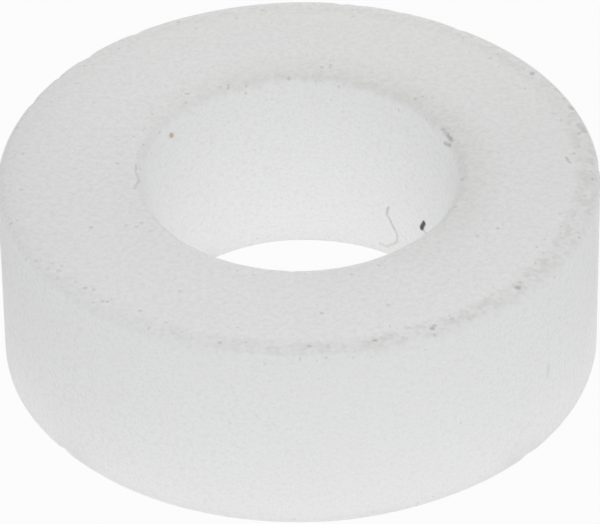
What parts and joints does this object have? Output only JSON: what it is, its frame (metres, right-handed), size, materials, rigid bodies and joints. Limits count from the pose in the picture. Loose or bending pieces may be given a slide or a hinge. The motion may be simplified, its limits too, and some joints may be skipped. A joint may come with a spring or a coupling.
{
  "type": "flat washer",
  "caption": "Thick plain plastic ring with a straight round bore, flat on both faces; fits under a screw head or nut to space parts and spread the load.",
  "frame": {"origin": "centre of the underside, on the bore's axis", "axes": "+Z along the bore's axis, from the underside to the top face"},
  "size_m": [0.01, 0.01, 0.0035],
  "materials": {
    "natural_plastic": "milky, slightly translucent, satin moulded surface"
  },
  "bodies": {
    "root": {"washer_body": "natural_plastic"}
  },
  "joints": []
}
